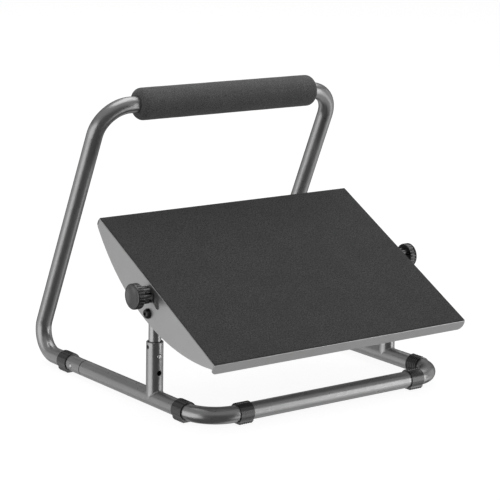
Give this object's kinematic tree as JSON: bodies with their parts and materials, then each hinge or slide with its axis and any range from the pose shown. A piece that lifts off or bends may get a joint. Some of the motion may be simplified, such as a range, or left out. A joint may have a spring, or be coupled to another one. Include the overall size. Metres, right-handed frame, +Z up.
{
  "type": "slant board",
  "caption": "Adjustable slant board: a tilting mat-covered steel tray on telescopic posts, in a bent-tube floor frame with a foam-padded hand bar and slip-resistant feet.",
  "frame": {"origin": "on the floor, under the middle of the whole object's bounding box", "axes": "+X to the user's right when the user stands in front, +Y from the front edge of the tray to the hand bar's feet, +Z up"},
  "size_m": [0.5334, 0.495, 0.4535],
  "materials": {
    "tray_paint": "satin powder coat",
    "frame_paint": "satin metallic powder coat",
    "post_paint": "satin metallic powder coat",
    "foam": "closed-cell foam, matt",
    "mat": "matt, finely textured",
    "clip_plastic": "satin",
    "zinc_steel": "satin zinc plate",
    "bright_steel": "polished",
    "spring_steel": "satin",
    "black_steel": "black oxide",
    "knob_plastic": "satin, moulded",
    "guide_plastic": "satin"
  },
  "bodies": {
    "frame": {"base_tube": "frame_paint", "foam_grip": "foam", "foot_clip_front_left": "clip_plastic", "foot_clip_front_right": "clip_plastic", "foot_clip_rear_left": "clip_plastic", "foot_clip_rear_right": "clip_plastic", "foot_clip_side_left": "clip_plastic", "foot_clip_side_right": "clip_plastic", "handle_spring_left": "spring_steel", "handle_spring_right": "spring_steel", "handle_tube": "frame_paint", "outer_post_left": "frame_paint", "outer_post_right": "frame_paint", "post_bush_left": "guide_plastic", "post_bush_right": "guide_plastic", "weld_bead_left": "frame_paint", "weld_bead_right": "frame_paint"},
    "carriage": {"bolt_washers": "black_steel", "height_spring_left": "spring_steel", "height_spring_right": "spring_steel", "inner_post_left": "post_paint", "inner_post_right": "post_paint", "lock_nuts": "zinc_steel", "pivot_bolts": "black_steel", "post_cap_left": "guide_plastic", "post_cap_right": "guide_plastic", "post_washers": "zinc_steel", "saddle_spacer_left": "guide_plastic", "saddle_spacer_right": "guide_plastic"},
    "platform": {"tray": "tray_paint", "anti_slip_mat": "mat"},
    "clamp_left": {"clamp_washer_left": "black_steel"},
    "knob_left": {"knob_left": "knob_plastic", "knob_screw_left": "zinc_steel"},
    "height_button_left": {"height_button_left": "bright_steel"},
    "handle_button_left": {"handle_button_left": "bright_steel"},
    "clamp_right": {"clamp_washer_right": "black_steel"},
    "knob_right": {"knob_right": "knob_plastic", "knob_screw_right": "zinc_steel"},
    "height_button_right": {"height_button_right": "bright_steel"},
    "handle_button_right": {"handle_button_right": "bright_steel"}
  },
  "joints": [
    {"name": "height", "type": "slide", "parent": "frame", "child": "carriage", "axis": [0, 0, 1], "range_m": [-0.025, 0], "deforming": ["height_button_left", "height_button_right"]},
    {"name": "tilt", "type": "hinge", "parent": "carriage", "child": "platform", "pos_m": [0, -0.08104, 0.1455], "axis": [1, 0, 0], "range_deg": [-56, 0]},
    {"name": "knob_travel_left", "type": "slide", "parent": "carriage", "child": "clamp_left", "axis": [-1, 0, 0], "range_m": [0, 0.0025]},
    {"name": "knob_turn_left", "type": "hinge", "parent": "clamp_left", "child": "knob_left", "pos_m": [-0.2577, -0.08104, 0.1742], "axis": [-1, 0, 0], "range_deg": [0, 720.01]},
    {"name": "height_button_press_left", "type": "slide", "parent": "carriage", "child": "height_button_left", "axis": [0, 1, 0], "range_m": [0, 0.0028], "stiffness_N_per_m": 1000, "springref_m": -0.003, "deforming": ["height_spring_left"]},
    {"name": "handle_button_press_left", "type": "slide", "parent": "frame", "child": "handle_button_left", "axis": [1, 0, 0], "range_m": [0, 0.0028], "stiffness_N_per_m": 1000, "springref_m": -0.003, "deforming": ["handle_spring_left"]},
    {"name": "knob_travel_right", "type": "slide", "parent": "carriage", "child": "clamp_right", "axis": [1, 0, 0], "range_m": [0, 0.0025]},
    {"name": "knob_turn_right", "type": "hinge", "parent": "clamp_right", "child": "knob_right", "pos_m": [0.2577, -0.08104, 0.1742], "axis": [1, 0, 0], "range_deg": [0, 720.01]},
    {"name": "height_button_press_right", "type": "slide", "parent": "carriage", "child": "height_button_right", "axis": [0, 1, 0], "range_m": [0, 0.0028], "stiffness_N_per_m": 1000, "springref_m": -0.003, "deforming": ["height_spring_right"]},
    {"name": "handle_button_press_right", "type": "slide", "parent": "frame", "child": "handle_button_right", "axis": [-1, 0, 0], "range_m": [0, 0.0028], "stiffness_N_per_m": 1000, "springref_m": -0.003, "deforming": ["handle_spring_right"]}
  ],
  "couplings": [
    {"joint": "knob_turn_left", "follows": "knob_travel_left", "rad_per_m": 5026.5},
    {"joint": "knob_turn_right", "follows": "knob_travel_right", "rad_per_m": 5026.5}
  ]
}
